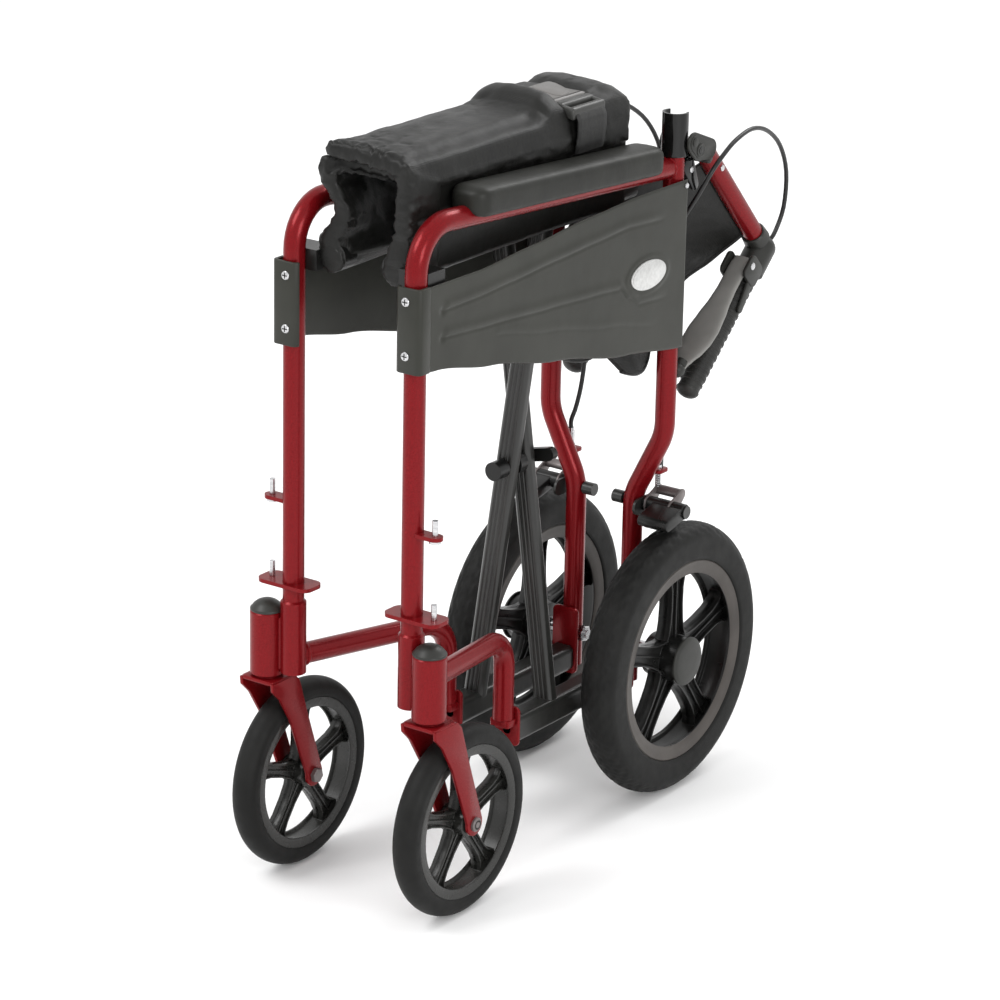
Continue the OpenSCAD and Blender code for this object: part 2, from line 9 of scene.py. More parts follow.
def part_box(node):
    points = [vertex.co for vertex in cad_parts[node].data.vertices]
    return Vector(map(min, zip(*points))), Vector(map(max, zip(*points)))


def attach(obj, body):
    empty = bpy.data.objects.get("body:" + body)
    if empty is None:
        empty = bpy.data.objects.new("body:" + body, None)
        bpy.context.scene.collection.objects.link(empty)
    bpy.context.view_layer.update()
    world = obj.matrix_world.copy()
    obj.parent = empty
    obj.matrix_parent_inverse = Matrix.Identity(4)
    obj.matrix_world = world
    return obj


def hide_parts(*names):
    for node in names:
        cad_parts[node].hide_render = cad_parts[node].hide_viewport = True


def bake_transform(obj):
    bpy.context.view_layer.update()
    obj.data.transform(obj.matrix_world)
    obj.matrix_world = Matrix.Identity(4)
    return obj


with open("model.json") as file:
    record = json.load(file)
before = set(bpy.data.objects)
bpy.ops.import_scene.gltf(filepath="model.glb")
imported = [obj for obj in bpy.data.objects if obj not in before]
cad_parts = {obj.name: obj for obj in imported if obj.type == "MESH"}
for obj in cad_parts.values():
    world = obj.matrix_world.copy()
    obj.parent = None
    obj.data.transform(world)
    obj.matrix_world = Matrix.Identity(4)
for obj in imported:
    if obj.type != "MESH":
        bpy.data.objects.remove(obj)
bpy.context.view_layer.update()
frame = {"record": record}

TUBE_R = 11               # every red tube of the frame
# The chair's measures below are in millimetres, with y = 0 at the front uprights
Y0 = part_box("left_side_frame")[0][1] * 1000 + TUBE_R
SIDES = (("left", 1), ("right", -1))
SIDE_X = 74               # uprights, posts and back tubes, from the middle of the folded chair
BASE_Y = 444.5            # rear posts
REAR_HUB = (90, BASE_Y, 150)
CASTOR_HUB = (102, 45.7, 100)
SWIVEL = (102, -7.3, 0)   # the castor's swivel axis at the floor
HINGE = (464.5, 708)      # the back's hinge line, as y and z
DROP = math.radians(46.8)  # how far the folded back tubes point below level
STRAP_Y = 309             # middle of the lap belt
ACROSS, UP = (1, 0, 0), (0, 0, 1)


def P(x, y, z):
    """A point of the chair, from millimetres to metres in the shared frame."""
    return Vector((x / 1000, (y + Y0) / 1000, z / 1000))


# ---------------------------------------------------------------- camera

def make_camera():
    azimuth, elevation, roll = (math.radians(a) for a in (35.35, 19.11, 1.19))
    back = Vector((math.sin(azimuth) * math.cos(elevation),
                   -math.cos(azimuth) * math.cos(elevation), math.sin(elevation)))
    right = Vector((math.cos(azimuth), math.sin(azimuth), 0))
    up = back.cross(right)
    side = right * math.cos(roll) + up * math.sin(roll)
    top = up * math.cos(roll) - right * math.sin(roll)
    data = bpy.data.cameras.new("camera")
    data.lens, data.sensor_width = 141.03, 36
    data.clip_end = 50
    camera = bpy.data.objects.new("camera", data)
    bpy.context.scene.collection.objects.link(camera)
    turn = Matrix((side, top, back)).transposed().to_4x4()
    camera.matrix_world = Matrix.Translation(P(76.62, 141.7, 407.6) + back * 3.91962) @ turn
    bpy.context.scene.camera = camera


make_camera()

# ---------------------------------------------------------------- mesh helpers


def both(build):
    """Builds the left copy of a group of pieces, then the right one."""
    for name, k in SIDES:
        build(name, k)



def link(name, mesh):
    obj = bpy.data.objects.new(name, mesh)
    bpy.context.scene.collection.objects.link(obj)
    return obj


def piece(name, verts, faces, material, body, nodes=(), smooth=True):
    """A mesh piece that rides on a body and stands for some CAD nodes."""
    mesh = bpy.data.meshes.new(name)
    mesh.from_pydata([tuple(v) for v in verts], [], faces)
    mesh.validate()
    mesh.update()
    obj = link(name, mesh)
    return dress(obj, material, body, nodes, smooth)


def dress(obj, material, body, nodes=(), smooth=True):
    mesh = obj.data
    bm = bmesh.new()
    bm.from_mesh(mesh)
    bmesh.ops.recalc_face_normals(bm, faces=bm.faces)
    bm.to_mesh(mesh)
    bm.free()
    for face in mesh.polygons:
        face.use_smooth = smooth
    mesh.materials.clear()
    mesh.materials.append(MATERIALS[material])
    if body:
        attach(obj, body)
    if nodes:
        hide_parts(*nodes)
    return obj


def rounded_path(points, bend, steps=10):
    """The points with each inner corner turned into an arc of radius bend."""
    points = [Vector(p) for p in points]
    out = [points[0]]
    for a, b, c in zip(points, points[1:], points[2:]):
        u, v = (b - a).normalized(), (c - b).normalized()
        turn = u.angle(v)
        if turn < 1e-4:
            out.append(b)
            continue
        cut = bend * math.tan(turn / 2)
        middle = b + (v - u).normalized() * (bend / math.cos(turn / 2))
        axis = u.cross(v).normalized()
        start = b - u * cut - middle
        for k in range(steps + 1):
            out.append(middle + Matrix.Rotation(turn * k / steps, 3, axis) @ start)
    out.append(points[-1])
    return out


def rings(path, profile, first=None, caps=True):
    """A sweep of closed profile rings along a path. profile(i, t) gives (side, up) pairs."""
    path = [Vector(p) for p in path]
    count = len(path)
    tangents = [(path[min(i + 1, count - 1)] - path[max(i - 1, 0)]).normalized()
                for i in range(count)]
    side = Vector(first) if first else tangents[0].orthogonal()
    verts, faces, size = [], [], 0
    for i, (at, ahead) in enumerate(zip(path, tangents)):
        side = (side - ahead * side.dot(ahead)).normalized()
        up = ahead.cross(side)
        ring = profile(i, i / (count - 1))
        size = len(ring)
        verts += [at + side * a + up * b for a, b in ring]
    for i in range(count - 1):
        for k in range(size):
            m = (k + 1) % size
            faces.append((i * size + k, i * size + m, (i + 1) * size + m, (i + 1) * size + k))
    if caps:
        faces.append(tuple(reversed(range(size))))
        faces.append(tuple((count - 1) * size + k for k in range(size)))
    return verts, faces


def circle(radius, sides=32):
    return [(radius * math.cos(math.tau * k / sides), radius * math.sin(math.tau * k / sides))
            for k in range(sides)]


# ---------------------------------------------------------------- shapes, in millimetres


def arc(cx, cy, radius, start, end, steps):
    """Points of an arc, in degrees."""
    return [(cx + radius * math.cos(math.radians(start + (end - start) * k / steps)),
             cy + radius * math.sin(math.radians(start + (end - start) * k / steps)))
            for k in range(steps + 1)]


def round_rect(x0, y0, x1, y1, r, steps=6):
    return (arc(x1 - r, y1 - r, r, 0, 90, steps) + arc(x0 + r, y1 - r, r, 90, 180, steps)
            + arc(x0 + r, y0 + r, r, 180, 270, steps) + arc(x1 - r, y0 + r, r, 270, 360, steps))


def hull_of(circles, steps=16):
    """The outline around circles (x, y, r) in a row, as a convex hull of their points."""
    points = sorted({p for x, y, r in circles for p in arc(x, y, r, 0, 360, steps * 2)})

    def half(rows):
        out = []
        for p in rows:
            while len(out) > 1 and ((out[-1][0] - out[-2][0]) * (p[1] - out[-2][1])
                                    - (out[-1][1] - out[-2][1]) * (p[0] - out[-2][0])) <= 0:
                out.pop()
            out.append(p)
        return out[:-1]
    return half(points) + half(reversed(points))


def inset(outline, depth):
    """The outline moved inwards by depth at each corner."""
    area = sum(a[0] * b[1] - b[0] * a[1] for a, b in zip(outline, outline[1:] + outline[:1]))
    turn = 1 if area > 0 else -1
    out = []
    for i, p in enumerate(outline):
        a, b = outline[i - 1], outline[(i + 1) % len(outline)]
        u = Vector((p[0] - a[0], p[1] - a[1]))
        v = Vector((b[0] - p[0], b[1] - p[1]))
        u = u.normalized() if u.length > 1e-9 else v.normalized()
        v = v.normalized() if v.length > 1e-9 else u
        n = Vector((-u.y - v.y, u.x + v.x)) * turn
        n = n.normalized() / max(0.5, math.cos(u.angle(v) / 2)) if n.length > 1e-6 else n
        out.append((p[0] + n.x * depth, p[1] + n.y * depth))
    return out


class Shape:
    """Collects solids in the chair's own millimetres, then becomes one piece."""

    def __init__(self, k=1, turn=None):
        self.verts, self.faces, self.k, self.turn = [], [], k, turn

    def add(self, verts, faces):
        base = len(self.verts)
        self.verts += [Vector(v) for v in verts]
        self.faces += [tuple(base + i for i in f) for f in faces]
        return self

    def sweep(self, path, profile, first=None, caps=True):
        return self.add(*rings(path, profile, first, caps))

    def tube(self, points, r, bend=0, sides=32, first=None):
        path = rounded_path(points, bend) if bend else points
        ring = circle(r, sides)
        return self.sweep(path, lambda i, t: ring, first)

    def lathe(self, at, axis, profile, sides=48, closed=False, dent=None):
        """profile holds (along, radius) pairs; closed joins its last point to its first."""
        at, axis = Vector(at), Vector(axis).normalized()
        side = axis.orthogonal().normalized()
        up = axis.cross(side)
        verts = []
        for i in range(sides):
            a = math.tau * i / sides
            out = side * math.cos(a) + up * math.sin(a)
            for j, (h, r) in enumerate(profile):
                verts.append(at + axis * h + out * (r - (dent(i, j, h, r) if dent else 0)))
        n = len(profile)
        faces = []
        for i in range(sides):
            m = (i + 1) % sides
            for j in range(n if closed else n - 1):
                q = (j + 1) % n
                faces.append((i * n + j, m * n + j, m * n + q, i * n + q))
        if not closed:
            faces.append(tuple(i * n for i in reversed(range(sides))))
            faces.append(tuple(i * n + n - 1 for i in range(sides)))
        return self.add(verts, faces)

    def plate(self, outline, place, low, high, bevel=0.8):
        """A thick outline with bevelled edges. place(u, v, w) gives the point."""
        bevel = min(bevel, (high - low) * 0.45)
        soft = bevel * 0.3
        small, mid = inset(outline, bevel), inset(outline, soft)
        levels = [(small, low), (mid, low + soft), (outline, low + bevel),
                  (outline, high - bevel), (mid, high - soft), (small, high)]
        verts = [Vector(place(u, v, w)) for ring, w in levels for u, v in ring]
        n, faces = len(outline), []
        for i in range(len(levels) - 1):
            for j in range(n):
                m = (j + 1) % n
                faces.append((i * n + j, i * n + m, (i + 1) * n + m, (i + 1) * n + j))
        faces.append(tuple(reversed(range(n))))
        faces.append(tuple((len(levels) - 1) * n + j for j in range(n)))
        return self.add(verts, faces)

    def side_plate(self, outline, x0, x1, bevel=0.8):
        return self.plate(outline, lambda u, v, w: (w, u, v), x0, x1, bevel)

    def flat_plate(self, outline, z0, z1, bevel=0.8):
        return self.plate(outline, lambda u, v, w: (u, v, w), z0, z1, bevel)

    def front_plate(self, outline, y0, y1, bevel=0.8):
        return self.plate(outline, lambda u, v, w: (u, w, v), y0, y1, bevel)

    def slab(self, verts, cols, rows):
        """Two layers of a grid of cols by rows faces, joined around their rim."""
        n, layer = rows + 1, (cols + 1) * (rows + 1)
        corners = [face * layer + i * n + j for face in (0, 1) for i in range(cols)
                   for j in range(rows)]
        faces = [(a, a + 1, a + n + 1, a + n) for a in corners]
        rim = [i * n for i in range(cols + 1)] + [cols * n + j for j in range(1, n)]
        rim += [i * n + rows for i in range(cols - 1, -1, -1)] + list(range(rows - 1, 0, -1))
        faces += [(a, b, b + layer, a + layer) for a, b in zip(rim, rim[1:] + rim[:1])]
        return self.add(verts, faces)

    def bolt(self, at, axis, r, height, sides=24, dome=0.35):
        """A domed screw head that stands on at."""
        return self.lathe(at, axis, [(0, r), (height * (1 - dome), r), (height * 0.9, r * 0.86),
                                     (height, r * 0.45)], sides)

    def hexagon(self, at, axis, r, height):
        return self.lathe(at, axis, [(0, r), (height * 0.85, r), (height, r * 0.88)], 6)

    def twin(self, name, material, body, nodes=(), sharp=32):
        """A piece of the left or right half, with names that start with the half's own."""
        half = "left_" if self.k > 0 else "right_"
        return self.piece(half + name, material, half + body, [half + n for n in nodes], sharp)

    def piece(self, name, material, body, nodes=(), sharp=32):
        turn = self.turn or (lambda v: v)
        verts = [turn(v) for v in self.verts]
        verts = [P(v.x * self.k, v.y, v.z) for v in verts]
        obj = piece(name, verts, self.faces, material, body, nodes)
        if sharp:
            obj.data.set_sharp_from_angle(angle=math.radians(sharp))
        return obj


# ---------------------------------------------------------------- materials

MATERIALS = {}


class Nodes:
    """Short forms for building a node tree."""

    def __init__(self, name):
        self.material = bpy.data.materials.new(name)
        self.material.use_nodes = True
        self.tree = self.material.node_tree
        self.tree.nodes.clear()
        self.out = self.add("ShaderNodeOutputMaterial")
        self.shader = self.add("ShaderNodeBsdfPrincipled")
        self.join(self.shader, "BSDF", self.out, "Surface")
        self.place = self.add("ShaderNodeTexCoord")
        MATERIALS[name] = self.material

    def add(self, kind, **values):
        node = self.tree.nodes.new(kind)
        for key, value in values.items():
            if hasattr(node, key):
                setattr(node, key, value)
            else:
                node.inputs[key.replace("_", " ")].default_value = value
        return node

    def join(self, a, output, b, socket):
        self.tree.links.new(a.outputs[output], b.inputs[socket])

    def noise(self, scale, detail=4.0, stretch=(1, 1, 1), roughness=0.5):
        mapping = self.add("ShaderNodeMapping")
        mapping.inputs["Scale"].default_value = stretch
        self.join(self.place, "Object", mapping, "Vector")
        node = self.add("ShaderNodeTexNoise", Scale=scale, Detail=detail, Roughness=roughness)
        self.join(mapping, "Vector", node, "Vector")
        return node

    def ramp(self, source, output, stops):
        node = self.add("ShaderNodeValToRGB")
        self.join(source, output, node, "Fac")
        elements = node.color_ramp.elements
        while len(elements) < len(stops):
            elements.new(0.5)
        for element, (at, colour) in zip(elements, stops):
            element.position, element.color = at, (*colour, 1)
        return node

    def bump(self, source, output, distance, strength=1.0, before=None):
        node = self.add("ShaderNodeBump", Strength=strength, Distance=distance)
        self.join(source, output, node, "Height")
        if before:
            self.join(before, "Normal", node, "Normal")
        return node


def surface(name, dark, light, roughness, bumps=(), metallic=0.0, coat=0.0, coat_roughness=0.1,
            colour_scale=40, stretch=(1, 1, 1), rough_spread=0.08, sheen=0.0, spread=(0.3, 0.7),
            specular=0.5, round_edges=0.0):
    """A surface with mottled colour and roughness, and layers of bump (scale, depth, stretch)."""
    n = Nodes(name)
    base = n.noise(colour_scale, 5, stretch)
    colour = n.ramp(base, "Fac", [(spread[0], dark), (spread[1], light)])
    n.join(colour, "Color", n.shader, "Base Color")
    wear = n.noise(colour_scale * 2.3, 6, stretch)
    span = n.add("ShaderNodeMapRange")
    span.inputs["To Min"].default_value = max(0.02, roughness - rough_spread)
    span.inputs["To Max"].default_value = min(1, roughness + rough_spread)
    n.join(wear, "Fac", span, "Value")
    n.join(span, "Result", n.shader, "Roughness")
    n.shader.inputs["Metallic"].default_value = metallic
    n.shader.inputs["Coat Weight"].default_value = coat
    n.shader.inputs["Coat Roughness"].default_value = coat_roughness
    n.shader.inputs["Sheen Weight"].default_value = sheen
    n.shader.inputs["Specular IOR Level"].default_value = specular
    last = None
    if round_edges:
        last = n.add("ShaderNodeBevel", samples=4)
        last.inputs["Radius"].default_value = round_edges
    for scale, depth, form in bumps:
        last = n.bump(n.noise(scale, 3, form), "Fac", depth, 1.0, last)
    if last:
        n.join(last, "Normal", n.shader, "Normal")
    return n


def make_materials():
    one = (1, 1, 1)
    surface("painted_frame", (0.135, 0.003, 0.005), (0.235, 0.006, 0.009), 0.27,
            [(900, 0.00003, one)], metallic=0.35, coat=0.10, coat_roughness=0.12, colour_scale=900,
            spread=(0.35, 0.75), round_edges=0.0008, specular=0.15)
    surface("steel", (0.42, 0.42, 0.43), (0.66, 0.66, 0.67), 0.26, [(60, 0.00005, (1, 1, 12))],
            metallic=1.0, colour_scale=120, stretch=(1, 1, 8), round_edges=0.0005)
    surface("black_metal", (0.0125, 0.0125, 0.0115), (0.023, 0.023, 0.0212), 0.33,
            [(240, 0.00006, (1, 1, 0.15))], metallic=0.1, coat=0.2, coat_roughness=0.2,
            colour_scale=60, stretch=(1, 1, 0.2), round_edges=0.0008, specular=0.4)
    surface("black_plastic", (0.0045, 0.0045, 0.0042), (0.0085, 0.0085, 0.008), 0.30,
            [(1400, 0.00005, one)], colour_scale=30, round_edges=0.0008, specular=0.35)
    surface("grey_plastic", (0.021, 0.0216, 0.0172), (0.030, 0.0306, 0.0250), 0.40,
            [(1100, 0.00007, one), (35, 0.0003, one)], colour_scale=14, round_edges=0.001,
            specular=0.24)
    surface("pad", (0.0130, 0.0133, 0.0112), (0.021, 0.0214, 0.0182), 0.46, [(700, 0.00014, one),
                                                                             (60, 0.0004, one)],
            colour_scale=24, specular=0.22)
    surface("light_plastic", (0.175, 0.172, 0.162), (0.220, 0.216, 0.204), 0.42,
            [(1500, 0.00006, one)], colour_scale=30, round_edges=0.0008, specular=0.35)
    surface("tyre", (0.0055, 0.0055, 0.0052), (0.0100, 0.0100, 0.0094), 0.56, [(900, 0.0002, one)],
            colour_scale=40, rough_spread=0.12, specular=0.18)
    surface("cable", (0.006, 0.006, 0.006), (0.010, 0.010, 0.010), 0.34, [(500, 0.0001, one)],
            specular=0.4)
    surface("rim_ring", (0.040, 0.034, 0.030), (0.060, 0.052, 0.046), 0.42, [(900, 0.00006, one)],
            colour_scale=30, specular=0.35)
    surface("hub_grey", (0.0155, 0.0158, 0.0138), (0.024, 0.0245, 0.0215), 0.42,
            [(900, 0.00006, one)], colour_scale=30, specular=0.35)
    surface("rim_dark", (0.012, 0.012, 0.0108), (0.020, 0.020, 0.018), 0.27, [(900, 0.00005, one)],
            colour_scale=30, specular=0.4, round_edges=0.0008)
    surface("link_metal", (0.120, 0.104, 0.102), (0.190, 0.168, 0.165), 0.36, [(500, 0.00006, one)],
            metallic=0.5, colour_scale=60, specular=0.4)
    surface("badge", (0.52, 0.52, 0.51), (0.64, 0.64, 0.63), 0.32, [(700, 0.00005, one)],
            metallic=0.7, colour_scale=300)
    surface("gloss_black", (0.003, 0.003, 0.003), (0.006, 0.006, 0.006), 0.10,
            [(160, 0.00004, one)], coat=0.1, coat_roughness=0.05, specular=0.3)
    surface("grip", (0.012, 0.012, 0.011), (0.022, 0.022, 0.020), 0.5, [(1300, 0.0001, one)],
            specular=0.35)
    surface("webbing", (0.009, 0.009, 0.009), (0.020, 0.020, 0.019), 0.55,
            [(1100, 0.0002, (1, 1, 1)), (300, 0.0002, (1, 6, 1))], colour_scale=220, sheen=0.03,
            specular=0.35)
    surface("buckle_grey", (0.105, 0.100, 0.095), (0.150, 0.142, 0.136), 0.36,
            [(1500, 0.00006, one)], colour_scale=30, specular=0.4)
    surface("buckle_dark", (0.028, 0.028, 0.026), (0.042, 0.042, 0.039), 0.36,
            [(1500, 0.00006, one)], colour_scale=30, specular=0.4)
    make_fabric()


def make_fabric():
    """Black coated nylon: a fine plain weave under a soft sheen, with a mottled tone."""
    n = surface("fabric", (0.0036, 0.0036, 0.0031), (0.0084, 0.0084, 0.0074), 0.41,
                [(45, 0.0012, (1, 1, 1))], colour_scale=18, sheen=0.01, rough_spread=0.1,
                specular=0.27)
    n.shader.inputs["Sheen Roughness"].default_value = 0.4
    last = n.shader.inputs["Normal"].links[0].from_node
    for turn in (0, math.pi / 2):
        mapping = n.add("ShaderNodeMapping")
        mapping.inputs["Rotation"].default_value = (0, turn, turn)
        n.join(n.place, "Object", mapping, "Vector")
        wave = n.add("ShaderNodeTexWave", Scale=260.0, Distortion=0.4)
        n.join(mapping, "Vector", wave, "Vector")
        last = n.bump(wave, "Fac", 0.00012, 0.6, last)
    n.join(last, "Normal", n.shader, "Normal")


make_materials()


def dress_cad():
    """Each CAD node gets the material of its slot in the record."""
    slots = {s["node"]: s["material_slot"] for s in frame["record"]["subparts"]}
    for name, slot in slots.items():
        obj = bpy.data.objects[name]
        for place in obj.material_slots:
            place.material = MATERIALS[slot]
        if not obj.material_slots:
            obj.data.materials.append(MATERIALS[slot])


dress_cad()

# ---------------------------------------------------------------- pieces

def brake_cables():
    route = [(74.7, 638.5, 571), (76, 648, 579), (79, 659, 606), (82, 656, 646), (86, 634, 680),
             (90, 600, 703), (93, 565, 712), (95.5, 530, 707), (97, 505, 697), (95.5, 485, 682),
             (86, 476, 658), (69, 472, 626), (57, 472, 590), (50, 473, 540), (48, 473, 480),
             (50, 469, 430), (54, 465, 400), (58, 462, 384), (58, 462, 374)]
    points = [Vector(p) for p in route]
    fine = []
    for i in range(len(points) - 1):
        a, b = points[max(i - 1, 0)], points[i]
        c, d = points[i + 1], points[min(i + 2, len(points) - 1)]
        for t in (k / 4 for k in range(4)):
            fine.append(0.5 * (2 * b + (c - a) * t + (2 * a - 5 * b + 4 * c - d) * t * t
                               + (3 * b - a - 3 * c + d) * t ** 3))
    fine.append(points[-1])
    for name, k in SIDES:
        path = [P(p.x * k, p.y, p.z) for p in fine]
        ring = circle(0.0025, 12)
        verts, faces = rings(path, lambda i, t: ring, ACROSS)
        obj = piece(name + "_cable", verts, faces, "cable", None, [name + "_brake_cable"])
        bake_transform(obj)


brake_cables()


def on_back(v):
    """From the folded back's own frame (across, along the handle, along the tube)."""
    return Vector((v.x, HINGE[0] - v.y * math.sin(DROP) + v.z * math.cos(DROP),
                   HINGE[1] - v.y * math.cos(DROP) - v.z * math.sin(DROP)))


def bead(shape, at, axis, r, size=1.6):
    """A weld bead around a tube."""
    ring = [(a, r + b) for a, b in arc(0, 0, size, 0, 330, 9)]
    return shape.lathe(at, axis, ring, 40, True,
                       lambda i, j, h, rr: 0.25 * math.sin(i * 2.1) * math.sin(j))


def frame_tubes(name, k):
    s = Shape(k)
    s.tube([(SIDE_X, 0, 231), (SIDE_X, 0, 718.5), (SIDE_X, BASE_Y - 11.6, 692)], TUBE_R, 45, 40)
    bead(s, (SIDE_X, BASE_Y - 12.2, 692), (0, 1, -0.06), 11, 1.2)
    s.lathe((SIDE_X, 0, 0), UP, [(229, 11), (230, 13.2), (306, 13.2), (308, 11.2)], 40)
    s.twin("frame_tube", "painted_frame", "frame", ["side_frame"])
    s = Shape(k)
    s.tube([(SIDE_X, BASE_Y, 705), (SIDE_X, BASE_Y, 400), (37, BASE_Y, 325), (37, BASE_Y, 112)],
           TUBE_R, 60, 40)
    s.front_plate(round_rect(21, 106, 53, 182, 6), 428.5, 433.3, 1)
    s.tube([(37, 404, 125), (37, 432, 125)], 5)
    s.flat_plate(round_rect(46, 450.5, 66, 469.5, 5), 350, 354, 0.8)
    s.twin("post_tube", "painted_frame", "frame", ["rear_post"])
    s = Shape(k)
    s.tube([(SIDE_X, 3, 246.8), (37, 211, 231), (37, 211, 140)], TUBE_R, 36, 40)
    bead(s, (72.2, 13, 246), (-0.175, 1, -0.075), 11, 1.8)
    s.front_plate(round_rect(22, 108, 52, 152, 6), 218, 222, 1)
    s.flat_plate(round_rect(25, 203, 49, 219, 3), 132, 140, 1)
    s.tube([(37, 218, 125), (37, 246, 125)], 5)
    s.bolt((37, 218, 144), (0, -1, 0), 5, 3)
    s.twin("foot_tube", "painted_frame", "frame", ["lower_tube"])
    s = Shape(k)
    s.lathe(SWIVEL, UP, [(225, 6.2), (225, 16.3), (226.2, 17.5), (291.5, 17.5), (293, 16.4),
                         (293, 2)], 56)
    s.plate(round_rect(-6, 231, 6, 289, 3), lambda u, v, w: (
        74 + w * 0.97 + u * 0.25, -2 + u - w * 0.16, v), 9, 22, 1.5)
    s.twin("head_tube", "painted_frame", "frame", ["castor_housing"])
    s = Shape(k)
    s.lathe((102, -7.3, 293), UP, [(0.05, 17), (1.2, 17.4), (2.4, 17), (3, 16.1), (6.2, 13.8),
                                   (9, 10.2), (10.8, 6.2), (11.5, 2.2)], 48)
    s.twin("head_cap", "hub_grey", "frame", ["castor_cap"])
    s = Shape(k)
    s.flat_plate(round_rect(81.5, -25, 122.5, 12, 5), 218.4, 222.6, 1.4)
    for side in (-1, 1):
        bend = [(-25, 221), (12, 221), (19, 214), (31, 178), (58, 103)]
        bend += arc(45.7, 100, 12.5, 5, -185, 14)[1:]
        bend += [(33, 104), (5, 172), (-12, 200), (-24, 212)]
        x = 102 + side * 18.6
        s.plate(bend, lambda u, v, w: (
            x + w + side * 1.2 * max(0.0, min(1.0, (v - 150) / 40)), u, v), -2, 2, 0.9)
    s.lathe(SWIVEL, UP, [(218, 4), (218, 13), (224.4, 13), (224.4, 6), (282, 6)], 40)
    s.twin("fork_strap", "painted_frame", "castor_fork", ["castor_fork"], 30)
    s = Shape(k)
    s.tube([(78, 45.7, 100), (126, 45.7, 100)], 4.8)
    s.lathe((122.4, 45.7, 100), ACROSS, [(0, 7.4), (2.4, 7.2), (3.6, 5.6), (3.6, 3.4), (2.2, 3.0),
                                         (2.2, 1)], 32)
    s.hexagon((81.6, 45.7, 100), (-1, 0, 0), 8, 5.5)
    s.twin("fork_bolt", "link_metal", "castor_fork", ["castor_axle"], 30)


def tyre_profile(r, w, hole):
    """Half-round tyre section, as (along, radius) pairs."""
    top = r - w * 0.42
    points = [(-w / 2 + 2, hole), (-w / 2 + 0.6, hole + 1.5), (-w / 2, hole + 4)]
    turn = arc(0, 0, 1, 180, 0, 30)
    points += [(x * w / 2, top + y * (r - top)) for x, y in turn]
    points += [(w / 2, hole + 4), (w / 2 - 0.6, hole + 1.5), (w / 2 - 2, hole)]
    return points


def wheels(name, k):
    s = Shape(k)

    def sipes(i, j, h, r):
        if r < 140 or abs(h) > 19:
            return 0
        band = int((h + 21) // 3.5)
        cut = (i + 2 * band) % 6 < 2 or abs(abs(h) - 6) < 0.8
        return 1.1 if cut else 0
    s.lathe(REAR_HUB, ACROSS, tyre_profile(150, 42, 111.2), 300, True, sipes)
    s.twin("wheel_tyre", "tyre", "rear_wheel", ["rear_tyre"], 60)
    s = Shape(k)
    s.lathe(CASTOR_HUB, ACROSS, tyre_profile(100, 28, 80.2), 160, True)
    s.twin("small_tyre", "tyre", "castor_wheel", ["castor_tyre"], 60)
    s = Shape(k)
    for side in (-1, 1):
        s.lathe(REAR_HUB, (side, 0, 0), [(16.4, 111), (18.6, 111.4), (19.6, 110), (18.2, 104),
                                         (17.4, 98), (16.2, 96.2), (15, 98)], 120, True)
    s.twin("rim_ring", "rim_ring", "rear_wheel")
    s = Shape(k)
    s.lathe(REAR_HUB, ACROSS, [(21.9, 27), (23.6, 26.8), (25.2, 25), (26, 22), (26.3, 12),
                               (26.4, 2)], 64)
    s.twin("hub_cap", "hub_grey", "rear_wheel")
    s = Shape(k)
    s.lathe(REAR_HUB, ACROSS, [(-17, 97.6), (-15, 96.4), (-12.5, 97.4), (-11, 101), (-4, 103),
                               (4, 103), (11, 101), (12.5, 97.4), (15, 96.4), (17, 97.6), (18, 111),
                               (-18, 111)], 120, True)
    s.lathe(REAR_HUB, ACROSS, [(-21.6, 8), (-21.6, 22.4), (-20.6, 23.6), (-9, 25.4), (9, 25.4),
                               (20.8, 24.4), (21.8, 23.4), (21.8, 8)], 64, True)
    spokes(s, REAR_HUB, [(21, 19), (30, 15), (42, 12.4), (60, 11), (80, 11.4), (92, 14),
                         (101.5, 20)], 8.5, 5.2, 2.1)
    s.twin("wheel_rim", "black_plastic", "rear_wheel", ["rear_rim"], 40)
    s = Shape(k)
    s.lathe(CASTOR_HUB, ACROSS, [(-12.4, 72), (-11.4, 70.2), (-9.6, 70.6), (-8, 73.4), (8, 73.4),
                                 (9.6, 70.6), (11.4, 70.2), (12.4, 72), (12.6, 80.4),
                                 (-12.6, 80.4)], 96, True)
    s.lathe(CASTOR_HUB, ACROSS, [(-14.6, 5.2), (-14.6, 13), (-13.6, 14.6), (13.6, 14.6), (14.6, 13),
                                 (14.6, 5.2)], 48, True)
    spokes(s, CASTOR_HUB, [(12.5, 12), (20, 9), (34, 7.2), (54, 7.2), (64, 9), (72.4, 14.5)], 6.4,
           3.6, 1.9)
    s.twin("small_rim", "rim_dark", "castor_wheel", ["castor_rim"], 40)


def spokes(shape, at, widths, half, rib, rib_w):
    """Five flared spokes around an X axis: a web with a raised rib along both edges."""
    at = Vector(at)
    fine = []
    for (a, u), (b, v) in zip(widths, widths[1:]):
        fine += [(a + (b - a) * t / 4, u + (v - u) * t / 4) for t in range(4)]
    fine.append(widths[-1])
    for n in range(5):
        turn = math.radians(90 + 72 * n)
        out = Vector((0, math.cos(turn), math.sin(turn)))
        across = Vector((0, -math.sin(turn), math.cos(turn)))

        def place(u, v, w):
            return at + out * u + across * v + Vector((w, 0, 0))
        outline = fine + [(r, -w) for r, w in reversed(fine)]
        shape.plate(outline, place, -half + rib, half - rib, 1)
        for side in (-1, 1):
            edge = [(r, side * w) for r, w in fine]
            back = [(r, side * (w - rib_w)) for r, w in reversed(fine)]
            shape.plate(edge + back, place, -half, half, 0.7)
        ridge = [(r, 0.9) for r, w in fine] + [(r, -0.9) for r, w in reversed(fine)]
        shape.plate(ridge, place, -half + 1, half - 1, 0.5)


